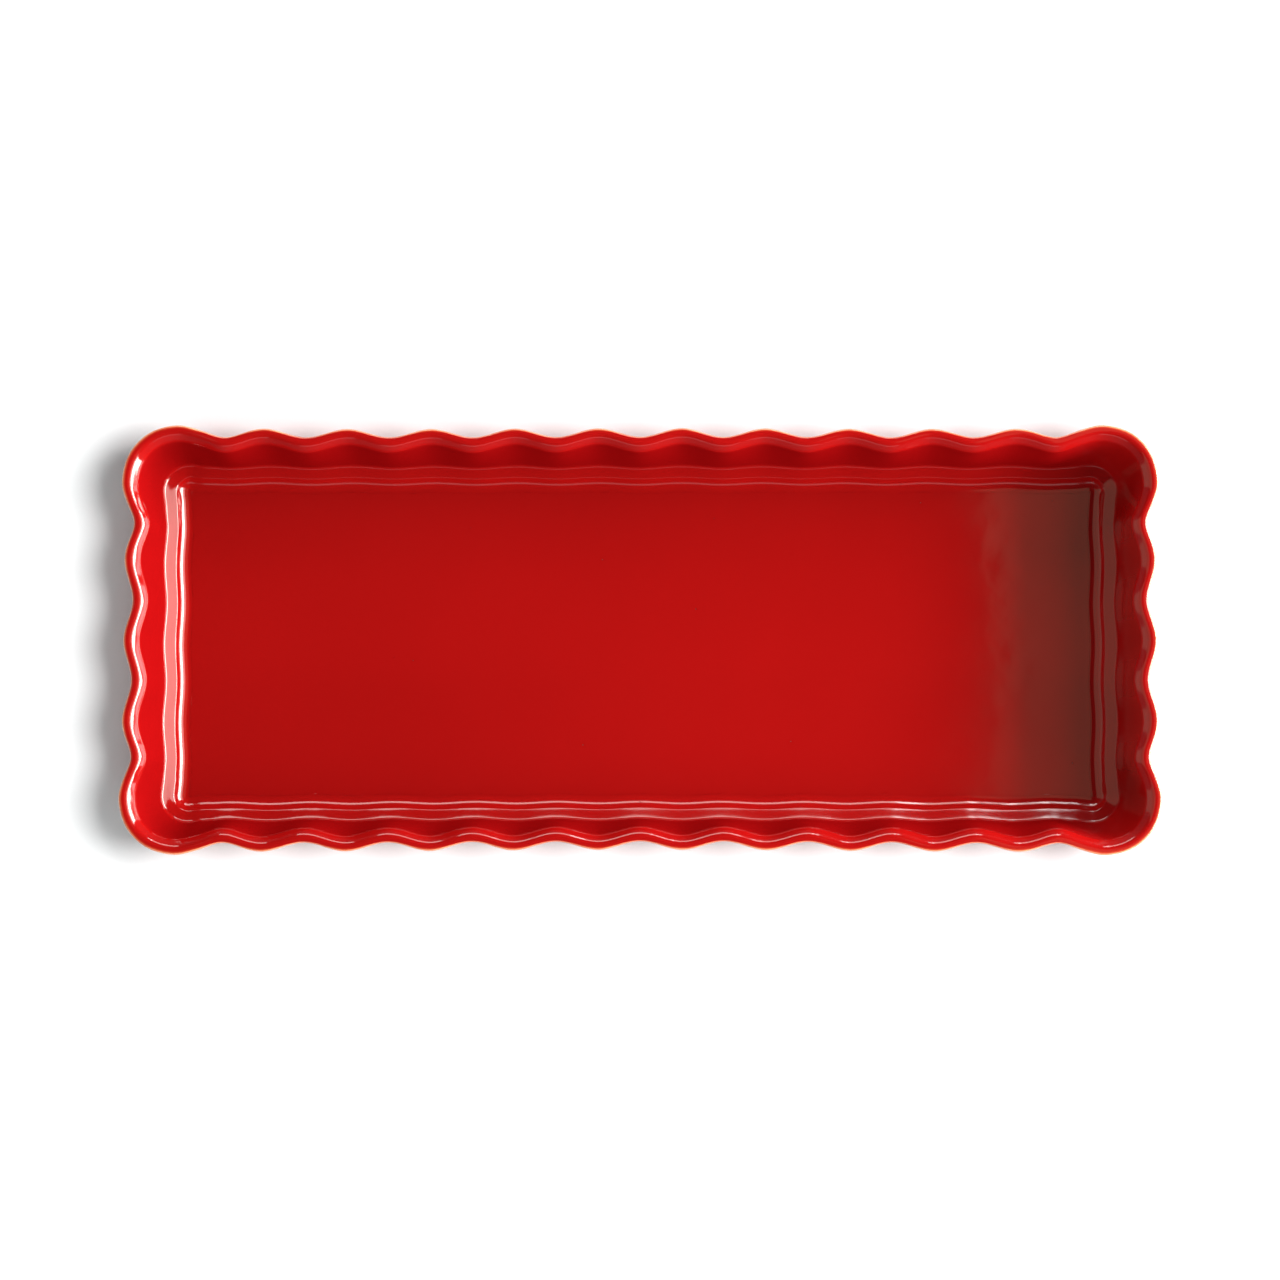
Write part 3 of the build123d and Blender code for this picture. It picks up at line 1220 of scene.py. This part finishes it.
@dataclass(frozen=True)
class Studio:
    """White paper, soft lights, a dim room and a camera that looks almost straight down.

    Attributes:
        eye: Where the camera stands, from the middle of the dish's rim.
        frame_width: Width of what the camera sees at the rim's height.
        sensor: Width of the camera's sensor, in millimetres.
        paper: Side of the sheet of paper.
        zenith: Brightness of the room straight overhead.
        horizon: Brightness of the room low down.
        dimming: From which height to which the room dims, as parts of straight up.
    """

    eye: tuple[float, float, float] = (0.004, -0.058, 1.15)
    frame_width: float = 0.4425
    sensor: float = 36.0
    paper: float = 8.0
    zenith: float = 0.03
    horizon: float = 0.16
    dimming: Span = (0.15, 0.60)
    # Name, bearing, low and high edge, width, radiance, distance.
    lights: tuple[Softbox, ...] = (
        Softbox("key_softbox", 3.0, 11.5, 33.5, 2.20, 33.5, 1.9, tint=(1.0, 0.95, 0.87)),
        Softbox("key_top", 3.0, 33.5, 52.0, 2.00, 5.4, 1.9, tint=(1.0, 0.91, 0.84)),
        Softbox("low_reflector", 0.0, 2.0, 10.0, 1.20, 5.0),
        Softbox("back_strip", 93.9, 20.0, 36.0, 0.75, 6.0, tint=(1.0, 0.93, 0.88)),
        Softbox("back_panel", 76.0, 20.0, 36.0, 0.055, 12.0, 1.28),
        Softbox("corner_panel", 71.5, 20.0, 36.0, 0.07, 10.0, 1.30),
        Softbox("front_strip", -90.0, 20.0, 33.0, 0.90, 0.8),
        Softbox("left_card", 180.0, 6.0, 70.0, 0.90, 0.50, tint=(1.0, 0.97, 0.70)),
        Softbox("overhead_card", 0.0, 60.0, 78.8, 0.90, 0.42, 1.35, tint=(1.0, 0.97, 0.64)),
        Softbox("front_fill", -90.0, 5.0, 27.0, 1.60, 7.4, glossy=False),
        Softbox("back_fill", 90.0, 4.0, 25.0, 1.40, 5.4, glossy=False),
        Softbox("left_fill", 180.0, 2.0, 18.0, 1.20, 4.3, glossy=False),
        Softbox("paper_sun", 2.0, 52.5, 74.5, 0.90, 28.5, 2.5, WHITE, True, Receiver.PAPER),
        Softbox("paper_fill", -105.0, 45.0, 85.0, 1.60, 1.9, 1.25, (0.88, 1.0, 1.0), True, Receiver.PAPER),
    )

    def build(self) -> None:
        """Builds the whole studio."""
        receivers = self._receivers(self._paper())
        self._room()
        self._camera()
        aim = Vector((0.0, 0.0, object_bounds()[1][2] / 2))
        for light in self.lights:
            light.build(aim, receivers)
            LOG.info("light %s", light.name)

    @staticmethod
    def _receivers(sheet: bpy.types.Object) -> dict[Receiver, bpy.types.Collection]:
        """For each kind of receiver, the collection that takes the paper in or leaves it out."""
        made = {}
        for receiver in Receiver:
            made[receiver] = bpy.data.collections.new(f"lit_{receiver.name.lower()}")
            made[receiver].objects.link(sheet)
            made[receiver].collection_objects[0].light_linking.link_state = receiver.value
        return made

    def _paper(self) -> bpy.types.Object:
        """Lays the sheet of paper that the dish stands on."""
        mesh = bpy.data.meshes.new("paper_sheet")
        half = self.paper / 2
        corners = [(-half, -half, 0.0), (half, -half, 0.0), (half, half, 0.0), (-half, half, 0.0)]
        mesh.from_pydata(corners, [], [(0, 1, 2, 3)])
        sheet = bpy.data.objects.new("paper_sheet", mesh)
        mesh.materials.append(StudioPaper().material())
        bpy.context.scene.collection.objects.link(sheet)
        sheet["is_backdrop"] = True
        return sheet

    def _room(self) -> None:
        """Makes the dim room, which is brighter low down than overhead."""
        world = bpy.data.worlds.new("studio_room")
        desk = ShaderDesk(world)
        height = desk.node("ShaderNodeSeparateXYZ", {}, {0: desk.places.out("Generated")}).value("Z")
        strength = self.horizon + (self.zenith - self.horizon) * height.between(*self.dimming)
        light = desk.node("ShaderNodeBackground", {}, {"Strength": strength}).out()
        desk.ended(End.WORLD, light)
        bpy.context.scene.world = world

    def _camera(self) -> None:
        """Stands the camera over the dish."""
        rim = Vector((0.0, 0.0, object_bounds()[1][2]))
        lens = bpy.data.cameras.new("view_from_above")
        lens.sensor_width = self.sensor
        lens.lens = self.sensor * self.eye[2] / self.frame_width
        camera = bpy.data.objects.new("view_from_above", lens)
        back = Vector(self.eye).normalized()
        right = (Vector((1.0, 0.0, 0.0)) - back * back.x).normalized()
        camera.location = rim + Vector(self.eye)
        camera.rotation_euler = Matrix((right, back.cross(right), back)).transposed().to_euler()
        bpy.context.scene.collection.objects.link(camera)
        bpy.context.scene.camera = camera


def main() -> None:
    """Builds the pieces and the studio."""
    logging.basicConfig(level=logging.INFO, format="%(name)s: %(message)s")
    scene = bpy.context.scene
    scene.view_settings.view_transform = "Standard"
    dish = Dish.from_frame()
    for maker in (ClayBody(dish), GlazeCoat(dish), BaseGlazePanel(dish)):
        piece = maker.build()
        maker.dress(piece)
        LOG.info("%s: %d faces", piece.name, len(piece.data.polygons))
    Studio().build()


if __name__ == "__main__":
    main()
